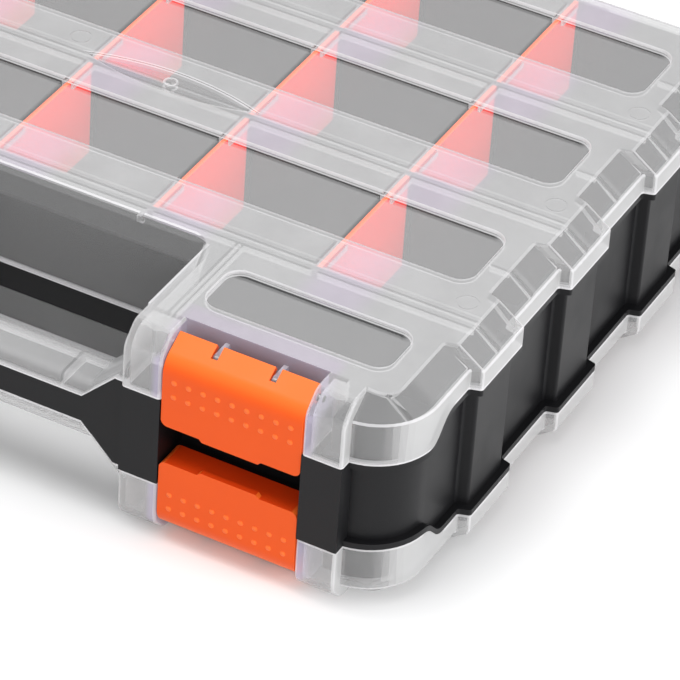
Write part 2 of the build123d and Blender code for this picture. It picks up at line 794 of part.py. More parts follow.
nodes = {}
lid = lid_solid()
nodes["top_lid"] = lid
nodes["bottom_lid"] = other_face(lid)
latch_mount = latch_mount_solid()
latch_mounts = {"right": latch_mount, "left": other_side(latch_mount)}
shell = case_shell_solid(list(latch_mounts.values()))
nodes["case_shell"] = shell
nodes["handle_core"] = handle_core_solid()
with BuildPart() as case_floor:
    floor_face = outline_face(0, skin_inner, mid_z - floor_thickness / 2)
    add(extrude(floor_face, amount=floor_thickness, dir=(0, 0, 1), mode=Mode.PRIVATE))
nodes["case_floor"] = case_floor.part
for owner, carrier in (("lid", lid), ("case", shell)):
    hinge_row = knuckles(owner, carrier)
    nodes[f"{owner}_knuckles_top"] = hinge_row
    nodes[f"{owner}_knuckles_bottom"] = other_face(hinge_row)
latch = latch_solid()
latch_pin = x_cylinder(pivot_radius, pocket_left_x - lid_wall, pocket_right_x + lid_wall, pivot_y, pivot_z)
for index in range(rows + 1):
    wall = row_wall_solid(index)
    nodes[f"row_wall_top_{index + 1}"] = wall
    nodes[f"row_wall_bottom_{index + 1}"] = other_face(wall)
for side in ("left", "right"):
    nodes[f"latch_mount_{side}"] = latch_mounts[side]
    hand_latch = latch if side == "right" else other_side(latch)
    hand_pin = latch_pin if side == "right" else other_side(latch_pin)
    hinge_pin = hinge_pin_solid(hinge_x if side == "right" else -hinge_x)
    pieces = {"latch": hand_latch, "latch_pin": hand_pin, "hinge_pin": hinge_pin}
    for name, piece in pieces.items():
        nodes[f"{name}_top_{side}"] = piece
        nodes[f"{name}_bottom_{side}"] = other_face(piece)
for row in range(rows):
    for column, x in enumerate(divider_xs):
        divider = divider_solid(row, x)
        nodes[f"divider_top_{row + 1}_{column + 1}"] = divider
        nodes[f"divider_bottom_{row + 1}_{column + 1}"] = other_face(divider)

os.makedirs("parts", exist_ok=True)
for name, part in nodes.items():
    part.label = name
    export_step(part, f"parts/{name}.step")
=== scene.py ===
import json
import math

import bpy
from mathutils import Matrix, Vector

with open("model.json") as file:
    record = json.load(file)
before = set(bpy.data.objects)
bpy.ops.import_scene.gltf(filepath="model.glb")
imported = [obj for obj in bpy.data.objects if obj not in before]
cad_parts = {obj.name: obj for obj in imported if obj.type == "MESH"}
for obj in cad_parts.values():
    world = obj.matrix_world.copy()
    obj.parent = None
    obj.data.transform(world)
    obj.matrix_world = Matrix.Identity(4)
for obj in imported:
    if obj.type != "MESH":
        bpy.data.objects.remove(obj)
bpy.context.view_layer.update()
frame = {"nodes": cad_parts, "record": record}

# camera, as fitted to the photograph: metres and degrees, lens and sensor in millimetres
CAMERA_TARGET = Vector((0.09039, -0.04769, 0.0333))
CAMERA_DISTANCE = 1.51856
CAMERA_TURN = 25.97
CAMERA_LIFT = 36.94
CAMERA_ROLL = 4.15
CAMERA_LENS = 242.56
SENSOR = 36.0
CLIP_START = 0.05
CLIP_END = 50.0

# rows and columns of the lids in metres: walls, dividers and the ribs beside them
ROWS = 3
ROW_PITCH = 0.0639
FIRST_WALL_Y = -0.071
ROW_WALLS = [FIRST_WALL_Y + row * ROW_PITCH for row in range(ROWS + 1)]
COLUMNS = 5
COLUMN_PITCH = 0.0612
DIVIDERS = [(column - (COLUMNS - 2) / 2) * COLUMN_PITCH for column in range(COLUMNS - 1)]
RIB_OFFSET = 0.00195
ROW_RIBS = [wall + side * RIB_OFFSET for wall in ROW_WALLS for side in (-1, 1)]
SLOPE_RIBS = [FIRST_WALL_Y + step * ROW_PITCH / 2 for step in range(2 * ROWS + 1)]

# half widths of the lines that these draw on the lid, and the span beside a slope rib where its sides lie
DIVIDER_HALF = 0.001
ROW_RIB_HALF = 0.0003
SLOPE_RIB_HALF = 0.0007
SLOPE_RIB_SIDE = (0.0006, 0.0012)

# windows, and the bare oval with its ring: REAR_EDGE_STEP is a share of the row pitch, the span of the
# painted shadow line inside a window's rear edge is one of LidPlan.windows, and OVAL_CLEAR and OVAL_EDGE are
# values of LidPlan.oval
WINDOW_HALF_X = 0.1377
WINDOW_HALF_Y = 0.01505
WINDOW_RADIUS = 0.006
WINDOW_SHADOW_LINE = (-0.0023, -0.0004)
POCKET_WINDOW = {"centre": (0.1037, -0.0987), "half": (0.0335, 0.0110)}
REAR_EDGE_END = 0.136
REAR_EDGE_STEP = 0.69
OVAL_Y = ROW_WALLS[1]
OVAL_HALF = (0.034, 0.0062)
OVAL_RING = 0.0026
OVAL_RING_LINE = 0.0007
OVAL_CLEAR = 0.93
OVAL_EDGE = (0.90, 1.08)

# plan of the front: lobes, latches, handle, finger gap and corners
LOBE_INNER_X = 0.057
LOBE_OUTER_X = 0.1368
LOBE_BACK_Y = -0.1195
LATCH_LEFT_X = 0.0713
LATCH_RIGHT_X = 0.1225
LATCH_MARGIN = 0.0015
LATCH_SPACE_Y = -0.1125
HANDLE_BACK_Y = -0.115
FRONT_RIM_Y = -0.112
SIDE_RIM_Y = -0.097
RECESS_Y = -0.085
RECESS_SLOPE = 0.0062
RECESS_CREST_END_Y = -0.076
GAP_EDGE_END_Y = -0.082
GAP_EDGE_LINE = 0.0007
POCKET_RIB_X = 0.0645
POCKET_RIB_REACH = 0.002
CORNER_END_Y = -0.106
FLARE_START = 0.0415
DOT_TOP_Y = -0.13485
DOT_FOOT_Y = -0.13465

# plan of the side slopes
SIDE_SLOPE_X = 0.138
SIDE_SLOPE_END_Y = 0.122
SLOPE_RIB_X = 0.136
PANEL_EDGE = 0.0143
PANEL_EDGE_LINE = 0.0006

# heights, measured up and down from the middle of the box
MID_Z = 0.04
OUTER_FACE = 0.0390
UNDERSIDE = 0.0345
CREASE = 0.033
CREASE_START = 0.0315
SIDE_PART = 0.0255
SIDE_RIM_LINE = 0.0007
LOBE_PART = 0.017
CORE_PART = 0.005
LATCH_BEND = 0.022
LATCH_BEND_RISE = 0.006
LATCH_LIP = 0.012

# spans of the size of a face's normal along Z or X, which tell level, sloped and standing faces apart
LEVEL_Z = (0.9, 0.97)
SLOPED_Z = (0.3, 0.6)
BEVEL_Z = (0.32, 0.60)
CREST_Z = (0.88, 0.955)
LOBE_END_X = (0.2, 0.95)
SKIRT_X = (0.5, 0.9)
STEP_X = (0.35, 0.5)
RIB_SIDE_X = (0.3, 0.5)
PANEL_X = (0.45, 0.55)
LATCH_UPPER_Z = (0.2, 0.9)
# facing along X of the sideways-leaning faces that get a painted sheen
LATCH_SHEEN_X = (0.25, 0.7)

# weight of a rib's own normal beside the upward one
OWN_NORMAL = 0.7

# widths over which a mask fades, in metres
SHARP = 0.0002
FINE = 0.0003
CRISP = 0.0004
NEAR = 0.0005
SOFT = 0.001
BROAD = 0.002

# share of light that each surface of the lid stops, by region, and what changes it there
COVER_WINDOW = 0.265
# low cover, so that the black below shows through as a painted shadow line
COVER_SHADOW_LINE = 0.05
COVER_BAND = 0.39
COVER_SLOPE = 0.20
COVER_RIB = 0.36
COVER_SLOPE_RIB = 0.38
COVER_FRONT = 0.32
COVER_LATCH_SIDE = 0.45
COVER_CORNER = 0.16
COVER_SKIRT = 0.58
# more cover on the lid's edges, part of their painted highlight
COVER_EDGE_HIGHLIGHT = 0.55
COVER_RECESS = 0.14
COVER_RECESS_SLOPE = 0.11
COVER_HANDLE = 0.30
COVER_CLOUD = 0.02
COVER_GRAZING = 0.12
ADDED_BY_ROW_RIB = 0.10
ADDED_BY_SLOPE_RIB = 0.08
ADDED_BY_CORNER_RIB = 0.10
CLEARED_BY_DIVIDER = 0.45
LIGHT_THROUGH = 0.85

# strength of the painted highlight lines and of the lilac patches, and where along X a patch starts
LINE_PANEL = 0.75
LINE_RING = 0.75
LINE_LOBE_END = 0.6
LINE_GAP_EDGE = 0.8
LINE_CREST_NEAR_GAP = 0.4
LINE_ALL = 0.9
LILAC_X = 0.028
LILAC_FLAT = 0.6
LILAC_LATCH_SIDE = 0.8

# colours in linear light
# the upright walls take darker greys than the flats: painted shade
SHADED_WALL_GREYS = (0.55, 0.55, 0.555, 1.0), (0.58, 0.58, 0.58, 1.0)
FLAT_GREYS = (0.61, 0.61, 0.615, 1.0), (0.645, 0.645, 0.65, 1.0)
FLAT_LILAC = (0.69, 0.61, 0.74, 1.0)
# darker lilac of the walls: painted shade
SHADED_WALL_LILAC = (0.57, 0.51, 0.70, 1.0)
# nearly white of the lid's edges: painted highlight
EDGE_HIGHLIGHT_WHITE = (0.86, 0.85, 0.87, 1.0)
BLACKS = (0.005, 0.005, 0.006, 1.0), (0.009, 0.009, 0.010, 1.0)
STEELS = (0.34, 0.34, 0.36, 1.0), (0.46, 0.46, 0.48, 1.0)
LATCH_ORANGES = (0.76, 0.086, 0.007, 1.0), (0.81, 0.098, 0.009, 1.0)
# paler orange of the latches' faces that look up: painted highlight
LATCH_SHEEN = (0.88, 0.165, 0.023, 1.0)
DIVIDER_ORANGES = (1.0, 0.03, 0.025, 1.0), (1.0, 0.045, 0.03, 1.0)
# paler orange of the dividers' faces that look up: painted highlight
DIVIDER_SHEEN = (1.0, 0.17, 0.045, 1.0)
# paler orange of the raised dots: painted highlight
DOT_HIGHLIGHT_ORANGE = (0.95, 0.21, 0.06, 1.0)
# deep red of the latches' lips: painted shade
SHADED_LIP_RED = (0.60, 0.03, 0.003, 1.0)
FLOOR_GREYS = (0.82, 0.82, 0.83, 1.0), (0.84, 0.84, 0.84, 1.0)
WHITE = (1.0, 1.0, 1.0, 1.0)

# studio: floor in metres, glow and world as strengths, and for each lamp
# its place, its target, the side of its square and its power in watts
FLOOR_HALF = 6.0
FLOOR_Z = -0.0002
FLOOR_GLOW = 0.06
WORLD_LIGHT = 0.64
WORLD_SEEN = 1.0
LAMPS = {
    "key_lamp": ((-0.15, -0.25, 1.5), (0.05, 0.0, 0.0), 0.7, 11.0),
    "front_lamp": ((0.5, -1.4, 0.9), (0.05, 0.0, 0.0), 1.0, 5.0),
    "right_lamp": ((1.5, -0.2, 0.7), (0.1, 0.0, 0.04), 0.9, 14.0),
}


class Graph:
    """Short calls for adding shader nodes to one material."""

    def __init__(self, name):
        self.material = bpy.data.materials.new(name)
        self.material.use_nodes = True
        self.tree = self.material.node_tree
        self.tree.nodes.clear()
        self.output = self.tree.nodes.new("ShaderNodeOutputMaterial")

    def node(self, kind, inputs=None, **settings):
        """A node with its settings and its input values or links."""
        made = self.tree.nodes.new("ShaderNode" + kind)
        for key, value in settings.items():
            setattr(made, key, value)
        for key, value in (inputs or {}).items():
            self.feed(made.inputs[key], value)
        return made

    def feed(self, socket, value):
        """Links a socket, or sets its value."""
        if isinstance(value, bpy.types.NodeSocket):
            self.tree.links.new(value, socket)
        else:
            socket.default_value = value

    def math(self, operation, first, second=0.0):
        """Result of one sum."""
        return self.node("Math", {0: first, 1: second}, operation=operation).outputs[0]

    def product(self, first, *others):
        """All of the values multiplied."""
        for other in others:
            first = self.math("MULTIPLY", first, other)
        return first

    def most(self, first, *others):
        """The largest of the values."""
        for other in others:
            first = self.math("MAXIMUM", first, other)
        return first

    def less(self, mask):
        """What a mask leaves: 1 where it is 0, and 0 where it is 1."""
        return self.math("SUBTRACT", 1.0, mask)

    def between(self, value, low, high, to_low=0.0, to_high=1.0):
        """Value carried from one range to another, clamped."""
        keys = {"Value": value, "From Min": low, "From Max": high, "To Min": to_low, "To Max": to_high}
        return self.node("MapRange", keys, interpolation_type="SMOOTHSTEP").outputs[0]

    def above(self, value, limit, soft):
        """0 up to a limit, rising to 1 over the soft width past it."""
        return self.between(value, limit, limit + soft)

    def below(self, value, limit, soft):
        """1 up to a limit, falling to 0 over the soft width past it."""
        return self.between(value, limit, limit + soft, 1.0, 0.0)

    def inside(self, value, low, high, soft):
        """1 between two limits, falling to 0 over the soft width outside them."""
        return self.product(self.between(value, low - soft, low), self.below(value, high, soft))

    def blend(self, factor, first, second):
        """Number between two others."""
        return self.node("Mix", {0: factor, 2: first, 3: second}, data_type="FLOAT").outputs[0]

    def mix(self, factor, first, second):
        """Blend of two colours."""
        return self.node("Mix", {0: factor, 6: first, 7: second}, data_type="RGBA").outputs[2]

    def noise(self, scale, detail=2.0):
        """Noise over the object's own coordinates, in metres."""
        place = self.node("TexCoord").outputs["Object"]
        keys = {"Vector": place, "Scale": scale, "Detail": detail, "Roughness": 0.5}
        return self.node("TexNoise", keys).outputs["Fac"]

    def bump(self, height, distance):
        """Normal from a height."""
        return self.node("Bump", {"Height": height, "Distance": distance, "Strength": 1.0}).outputs[0]

    def surface(self, shader):
        """Sends the shader to the output and returns the material."""
        self.tree.links.new(shader.outputs[0], self.output.inputs["Surface"])
        return self.material


class LidPlan:
    """Place and facing of a point on a surface, and the masks of the lid's regions."""

    def __init__(self, graph):
        self.graph = graph
        place = graph.node("SeparateXYZ", {0: graph.node("TexCoord").outputs["Object"]})
        self.x, self.y = place.outputs[0], place.outputs[1]
        self.along = graph.math("ABSOLUTE", self.x)
        self.height = graph.math("SUBTRACT", place.outputs[2], MID_Z)
        self.out = graph.math("ABSOLUTE", self.height)
        normal = graph.node("VectorTransform", {0: graph.node("NewGeometry").outputs["True Normal"]},
                            vector_type="NORMAL", convert_from="WORLD", convert_to="OBJECT")
        facing = graph.node("SeparateXYZ", {0: normal.outputs[0]})
        self.face_x = graph.math("ABSOLUTE", facing.outputs[0])
        self.face_z = graph.math("ABSOLUTE", facing.outputs[2])
        self.flat = graph.between(self.face_z, *LEVEL_Z)
        self.upright = graph.between(self.face_z, *SLOPED_Z, 1.0, 0.0)
        self.in_front = graph.below(self.y, LOBE_BACK_Y, BROAD)

    def upward(self):
        """The surface's normal, leant away from the middle of the box, for what is seen through the lid."""
        graph = self.graph
        away = graph.node("CombineXYZ", {2: graph.math("SIGN", self.height)})
        turned = graph.node("VectorTransform", {0: away.outputs[0]}, vector_type="NORMAL",
                            convert_from="OBJECT", convert_to="WORLD")
        own = graph.node("NewGeometry").outputs["True Normal"]
        leant = graph.node("VectorMath", {0: own, 1: (OWN_NORMAL,) * 3, 2: turned.outputs[0]},
                           operation="MULTIPLY_ADD")
        return graph.node("VectorMath", {0: leant.outputs[0]}, operation="NORMALIZE").outputs[0]

    def offset(self, value, places):
        """Distance from the nearest of several places along one axis."""
        gaps = [self.graph.math("ABSOLUTE", self.graph.math("SUBTRACT", value, place)) for place in places]
        nearest = gaps[0]
        for gap in gaps[1:]:
            nearest = self.graph.math("MINIMUM", nearest, gap)
        return nearest

    def field(self, centre, half):
        """Signed distance to a rounded rectangle in plan, mirrored left and right."""
        graph = self.graph
        off_x = graph.math("ABSOLUTE", graph.math("SUBTRACT", self.along, centre[0]))
        off_y = graph.math("ABSOLUTE", graph.math("SUBTRACT", self.y, centre[1]))
        out_x = graph.math("SUBTRACT", off_x, half[0] - WINDOW_RADIUS)
        out_y = graph.math("SUBTRACT", off_y, half[1] - WINDOW_RADIUS)
        square_x = graph.math("POWER", graph.most(out_x, 0.0), 2.0)
        square_y = graph.math("POWER", graph.most(out_y, 0.0), 2.0)
        outside = graph.math("SQRT", graph.math("ADD", square_x, square_y))
        inside = graph.math("MINIMUM", graph.most(out_x, out_y), 0.0)
        return graph.math("SUBTRACT", graph.math("ADD", outside, inside), WINDOW_RADIUS)

    def windows(self):
        """Signed distance to the edge of the nearest window."""
        nearest = self.field(POCKET_WINDOW["centre"], POCKET_WINDOW["half"])
        for wall in ROW_WALLS[:-1]:
            row_window = self.field((0.0, wall + ROW_PITCH / 2), (WINDOW_HALF_X, WINDOW_HALF_Y))
            nearest = self.graph.math("MINIMUM", nearest, row_window)
        return nearest

    def rear_edge(self):
        """1 along the rear edge of each window."""
        graph = self.graph
        behind_wall = graph.math("SUBTRACT", self.y, FIRST_WALL_Y)
        step = graph.math("FRACT", graph.math("DIVIDE", behind_wall, ROW_PITCH))
        return graph.product(graph.above(step, REAR_EDGE_STEP, 0.01),
                             graph.below(self.along, REAR_EDGE_END - 0.004, 0.004))

    def oval(self):
        """About 1 at the edge of the bare oval, less inside it."""
        graph = self.graph
        across = graph.math("DIVIDE", graph.math("SUBTRACT", self.y, OVAL_Y), OVAL_HALF[1])
        along = graph.math("DIVIDE", self.x, OVAL_HALF[0])
        return graph.math("ADD", graph.math("ABSOLUTE", across), graph.math("POWER", along, 2.0))

    def oval_line(self):
        """1 along the rear edge of the oval, on the outer surface."""
        graph = self.graph
        rear = graph.above(graph.math("SUBTRACT", self.y, OVAL_Y), 0.0, NEAR)
        outer = graph.above(self.out, OUTER_FACE - NEAR, NEAR)
        return graph.product(graph.inside(self.oval(), *OVAL_EDGE, 0.04), rear, outer, self.flat)

    def oval_ring(self):
        """1 on the small ring in the middle of the oval."""
        graph = self.graph
        across = graph.math("POWER", graph.math("SUBTRACT", self.y, OVAL_Y), 2.0)
        radius = graph.math("SQRT", graph.math("ADD", across, graph.math("POWER", self.x, 2.0)))
        return graph.inside(radius, OVAL_RING - OVAL_RING_LINE, OVAL_RING, SHARP)

    def rib_sides(self):
        """1 on the sides of the ribs under the lid and under its side slopes."""
        graph = self.graph
        behind = graph.above(self.y, RECESS_Y, NEAR)
        beside = graph.below(self.offset(self.along, [POCKET_RIB_X]), POCKET_RIB_REACH, SHARP)
        under = graph.product(self.upright, graph.above(self.out, UNDERSIDE, FINE),
                              graph.most(behind, beside))
        lengthwise = graph.between(self.face_x, *RIB_SIDE_X, 1.0, 0.0)
        on_slope = graph.product(graph.inside(self.offset(self.y, SLOPE_RIBS), *SLOPE_RIB_SIDE, SHARP),
                                 graph.above(self.along, SLOPE_RIB_X, SOFT), lengthwise, self.upright)
        return graph.most(under, on_slope)

    def beside_latch(self):
        """1 on the lid's surfaces round a latch."""
        graph = self.graph
        low, high = LATCH_LEFT_X - LATCH_MARGIN, LATCH_RIGHT_X + LATCH_MARGIN
        return graph.product(graph.inside(self.along, low, high, 2 * LATCH_MARGIN), self.in_front)

    def gap_wall(self):
        """1 on the wall and slope behind the finger gap."""
        graph = self.graph
        return graph.product(graph.inside(self.y, RECESS_Y - SOFT, RECESS_Y + RECESS_SLOPE, FINE),
                             graph.below(self.along, LOBE_INNER_X - BROAD, BROAD))

    def panel_side(self):
        """1 on the steps between the raised and the recessed panels of the side slopes."""
        graph = self.graph
        lengthwise = graph.between(self.face_x, *STEP_X, 1.0, 0.0)
        return graph.product(lengthwise, graph.above(self.along, SIDE_SLOPE_X, SOFT),
                             graph.inside(self.y, CORNER_END_Y + SOFT, SIDE_SLOPE_END_Y, SOFT))

    def panel_edge(self):
        """1 along the edge of each raised panel of the side slopes."""
        graph = self.graph
        from_wall = self.offset(self.y, ROW_WALLS)
        edge = graph.inside(from_wall, PANEL_EDGE - PANEL_EDGE_LINE, PANEL_EDGE, SHARP)
        sloped = graph.between(self.face_x, *PANEL_X)
        return graph.product(edge, sloped, graph.above(self.along, SIDE_SLOPE_X, SOFT))


def top_cover(graph, plan, window):
    """Share of light stopped at the lid's flat top: frosted bands, oval and windows."""
    frost = graph.noise(60.0, 3.0)
    band = graph.between(frost, 0.3, 0.7, COVER_BAND - COVER_CLOUD, COVER_BAND + COVER_CLOUD)
    row_rib = graph.below(plan.offset(plan.y, ROW_RIBS), ROW_RIB_HALF, CRISP)
    band = graph.math("ADD", band, graph.product(row_rib, ADDED_BY_ROW_RIB))
    oval = graph.below(plan.oval(), OVAL_CLEAR, 1.0 - OVAL_CLEAR)
    band = graph.blend(oval, band, COVER_WINDOW)
    # painted shadow line just inside each window's rear edge: the cover drops there so the dark below shows
    shadow_line = graph.product(graph.inside(window, *WINDOW_SHADOW_LINE, FINE), plan.rear_edge())
    pane = graph.blend(shadow_line, COVER_WINDOW, COVER_SHADOW_LINE)
    contact = graph.product(graph.below(plan.offset(plan.x, DIVIDERS), DIVIDER_HALF, CRISP),
                            graph.above(plan.y, FIRST_WALL_Y, SOFT))
    pane = graph.product(pane, graph.less(graph.product(contact, CLEARED_BY_DIVIDER)))
    return graph.blend(graph.below(window, -FINE, FINE), band, pane)


def lid_cover(graph, plan, window, edge_highlight):
    """Share of light stopped at a surface of the lid: its top, slopes, walls and edges."""
    rib = graph.below(plan.offset(plan.y, SLOPE_RIBS), SLOPE_RIB_HALF, CRISP)
    slope = graph.math("ADD", COVER_SLOPE, graph.product(rib, ADDED_BY_SLOPE_RIB))
    side = graph.between(plan.face_x, *SKIRT_X)
    wall = graph.blend(side, COVER_FRONT, COVER_SKIRT)
    wall = graph.blend(plan.beside_latch(), wall, COVER_LATCH_SIDE)
    gap = plan.gap_wall()
    wall = graph.blend(gap, wall, COVER_RECESS)
    slope = graph.blend(gap, slope, COVER_RECESS_SLOPE)
    corner = graph.product(graph.above(plan.along, LOBE_OUTER_X, NEAR),
                           graph.below(plan.y, CORNER_END_Y - 0.004, 0.004))
    wall = graph.blend(graph.product(corner, graph.less(side)), wall, COVER_CORNER)
    corner_slope = graph.math("ADD", COVER_CORNER, graph.product(rib, ADDED_BY_CORNER_RIB))
    slope = graph.blend(corner, slope, corner_slope)
    cover = graph.blend(plan.flat, graph.blend(plan.upright, slope, wall), top_cover(graph, plan, window))
    handle = graph.product(graph.below(plan.y, HANDLE_BACK_Y, SOFT),
                           graph.below(plan.along, LOBE_INNER_X - CRISP, CRISP))
    cover = graph.blend(handle, cover, COVER_HANDLE)
    under = graph.blend(graph.above(plan.along, SLOPE_RIB_X + NEAR, SOFT), COVER_RIB, COVER_SLOPE_RIB)
    cover = graph.blend(plan.rib_sides(), cover, under)
    # edges stop more light, part of their painted highlight
    return graph.blend(edge_highlight, cover, COVER_EDGE_HIGHLIGHT)


def creased_edges(graph, plan, gap):
    """1 along the lid's bevelled creases, and less on the rounded ends of its lobes."""
    crease = graph.product(graph.inside(plan.face_z, *BEVEL_Z, 0.04), graph.less(plan.panel_side()))
    beside_gap = graph.product(graph.below(plan.along, LOBE_INNER_X, SOFT),
                               graph.below(plan.y, RECESS_CREST_END_Y, SOFT))
    crest = graph.product(graph.inside(plan.face_z, *CREST_Z, 0.01),
                          graph.blend(beside_gap, LINE_CREST_NEAR_GAP, 1.0))
    outer = graph.above(plan.out, CREASE_START, 0.0007)
    lobe = graph.product(plan.in_front, graph.inside(plan.along, LOBE_INNER_X, LOBE_OUTER_X, 0.0001))
    bevel = graph.product(graph.most(crease, crest), outer, graph.less(graph.most(lobe, gap)))
    lobe_end = graph.product(graph.inside(plan.face_x, *LOBE_END_X, 0.03), lobe, LINE_LOBE_END)
    beside = graph.inside(plan.along, LOBE_INNER_X - SHARP, LOBE_INNER_X + GAP_EDGE_LINE, SHARP)
    gap_edge = graph.product(beside, graph.inside(plan.y, LOBE_BACK_Y, GAP_EDGE_END_Y, SOFT),
                             graph.above(plan.out, CREASE, SOFT), LINE_GAP_EDGE)
    return graph.most(bevel, lobe_end, gap_edge)


def lower_rims(graph, plan, gap):
    """1 along the lower edge of the lid's skirt, wall and front."""
    side_rim = graph.product(graph.inside(plan.out, SIDE_PART, SIDE_PART + SIDE_RIM_LINE, FINE),
                             graph.above(plan.y, SIDE_RIM_Y, BROAD), graph.less(gap))
    gap_rim = graph.product(gap, graph.inside(plan.height, CORE_PART, CORE_PART + CRISP, SHARP))
    flare = graph.most(graph.math("SUBTRACT", plan.along, FLARE_START), 0.0)
    parting = graph.math("MINIMUM", graph.math("ADD", flare, CORE_PART), LOBE_PART)
    past_parting = graph.math("SUBTRACT", plan.out, parting)
    front_rim = graph.product(graph.inside(past_parting, 0.0, NEAR, FINE),
                              graph.below(plan.y, FRONT_RIM_Y, BROAD))
    return graph.most(side_rim, gap_rim, front_rim)


def lid_edge_highlights(graph, plan, window):
    """Painted highlights as whiter lines: window edges, creases, rims, raised panels and the marks of the
    oval.
    """
    gap = plan.gap_wall()
    window_edge = graph.inside(window, 0.0, CRISP, SHARP)
    panels = graph.product(plan.panel_edge(), LINE_PANEL)
    ring = graph.product(plan.oval_ring(), LINE_RING)
    lines = graph.most(window_edge, creased_edges(graph, plan, gap), lower_rims(graph, plan, gap),
                       panels, plan.oval_line(), ring)
    return graph.product(lines, LINE_ALL)


def lid_colour(graph, plan, clear, edge_highlight):
    """Greys of the lid, darker on its upright walls as painted shade, with lilac patches on its flats and
    round its latches, and edges painted nearly white as highlights.
    """
    cloud = graph.noise(45.0, 3.0)
    phase = graph.math("SUBTRACT", plan.x, LILAC_X)
    wave = graph.math("SINE", graph.product(phase, 2 * math.pi / COLUMN_PITCH))
    behind_latch = graph.above(plan.y, LATCH_SPACE_Y, SOFT)
    patches = graph.product(graph.between(wave, 0.0, 1.0), behind_latch)
    before_latch = graph.product(graph.less(behind_latch),
                                 graph.inside(plan.along, LATCH_LEFT_X, LATCH_RIGHT_X, 0.005))
    tint = graph.product(graph.most(patches, before_latch), graph.blend(clear, LILAC_FLAT, 0.0), plan.flat)
    beside = graph.product(plan.beside_latch(), LILAC_LATCH_SIDE)
    # upright walls get the darker greys: painted shade
    walls = graph.mix(beside, graph.mix(cloud, *SHADED_WALL_GREYS), SHADED_WALL_LILAC)
    flats = graph.mix(tint, graph.mix(cloud, *FLAT_GREYS), FLAT_LILAC)
    # edges mixed towards near white: painted highlight
    return graph.mix(edge_highlight, graph.mix(plan.upright, flats, walls), EDGE_HIGHLIGHT_WHITE)


def clear_plastic():
    """Milky, frosted lid plastic with clearer, smoother windows and edges painted whiter as highlights."""
    graph = Graph("clear_plastic")
    plan = LidPlan(graph)
    window = plan.windows()
    edge_highlight = lid_edge_highlights(graph, plan, window)
    cover = lid_cover(graph, plan, window, edge_highlight)
    clear = graph.product(graph.below(window, -CRISP, CRISP), plan.flat)
    edge_on = graph.node("LayerWeight", {"Blend": 0.35}).outputs["Facing"]
    lift = graph.product(edge_on, graph.blend(clear, COVER_GRAZING, 0.0))
    path = graph.node("LightPath")
    light_ray = graph.most(path.outputs["Is Shadow Ray"], path.outputs["Is Diffuse Ray"])
    spread = graph.less(graph.product(light_ray, LIGHT_THROUGH))
    alpha = graph.product(graph.math("MINIMUM", graph.math("ADD", cover, lift), 1.0), spread)
    frosted_height = graph.product(graph.noise(2000.0), graph.less(clear))
    lit = graph.mix(plan.rib_sides(), graph.bump(frosted_height, 0.00004), plan.upward())
    shader = graph.node("BsdfPrincipled", {
        "Base Color": lid_colour(graph, plan, clear, edge_highlight), "Roughness": graph.blend(clear, 0.42, 0.14),
        "Alpha": alpha, "IOR": 1.5, "Normal": lit})
    return graph.surface(shader)


def black_plastic():
    """Satin black plastic with a fine moulded grain."""
    graph = Graph("black_plastic")
    patch = graph.noise(35.0, 3.0)
    shader = graph.node("BsdfPrincipled", {
        "Base Color": graph.mix(patch, *BLACKS), "Roughness": graph.between(patch, 0.3, 0.7, 0.38, 0.46),
        "IOR": 1.5, "Specular IOR Level": 0.22, "Normal": graph.bump(graph.noise(1800.0), 0.00003)})
    return graph.surface(shader)


def orange_plastic(name, oranges, sheen_orange, roughness, glow=0.0):
    """Bright orange plastic, with painted highlights that make faces looking up, faces leaning sideways and
    the raised dots paler, painted shade that makes the latches' lips a deeper red, and a glow of its own
    colour, if given, which is painted light.
    """
    graph = Graph(name)
    plan = LidPlan(graph)
    patch = graph.noise(70.0, 3.0)
    # faces looking up, high on the part, turn paler: painted highlight
    level = graph.product(graph.between(plan.face_z, *LATCH_UPPER_Z),
                          graph.above(plan.out, LATCH_BEND, LATCH_BEND_RISE))
    # raised dots turn paler: painted highlight
    dots = graph.between(plan.y, DOT_TOP_Y, DOT_FOOT_Y, 0.55, 0.0)
    # level lips low on the latch turn deep red: painted shade
    shaded_lip = graph.product(plan.flat, graph.between(plan.out, LATCH_LIP, LATCH_LIP + SOFT, 0.7, 0.0))
    # faces leaning sideways, such as the sides of the dots, turn paler: painted sheen
    sideways_sheen = graph.product(graph.inside(plan.face_x, *LATCH_SHEEN_X, 0.15), 0.6)
    colour = graph.mix(level, graph.mix(patch, *oranges), sheen_orange)
    colour = graph.mix(dots, colour, DOT_HIGHLIGHT_ORANGE)
    colour = graph.mix(shaded_lip, colour, SHADED_LIP_RED)
    colour = graph.mix(sideways_sheen, colour, sheen_orange)
    shader = graph.node("BsdfPrincipled", {
        "Base Color": colour, "Roughness": graph.between(patch, 0.3, 0.7, roughness - 0.03, roughness + 0.04),
        "IOR": 1.47, "Specular IOR Level": 0.2, "Emission Color": oranges[1], "Emission Strength": glow,
        "Normal": graph.bump(graph.noise(1500.0), 0.00002)})
    return graph.surface(shader)


def pin_steel():
    """Plain steel of the pins, with fine lines round them."""
    graph = Graph("pin_steel")
    lines = graph.noise(900.0, 3.0)
    shader = graph.node("BsdfPrincipled", {
        "Base Color": graph.mix(lines, *STEELS), "Metallic": 1.0,
        "Roughness": graph.between(lines, 0.3, 0.7, 0.4, 0.5)})
    return graph.surface(shader)


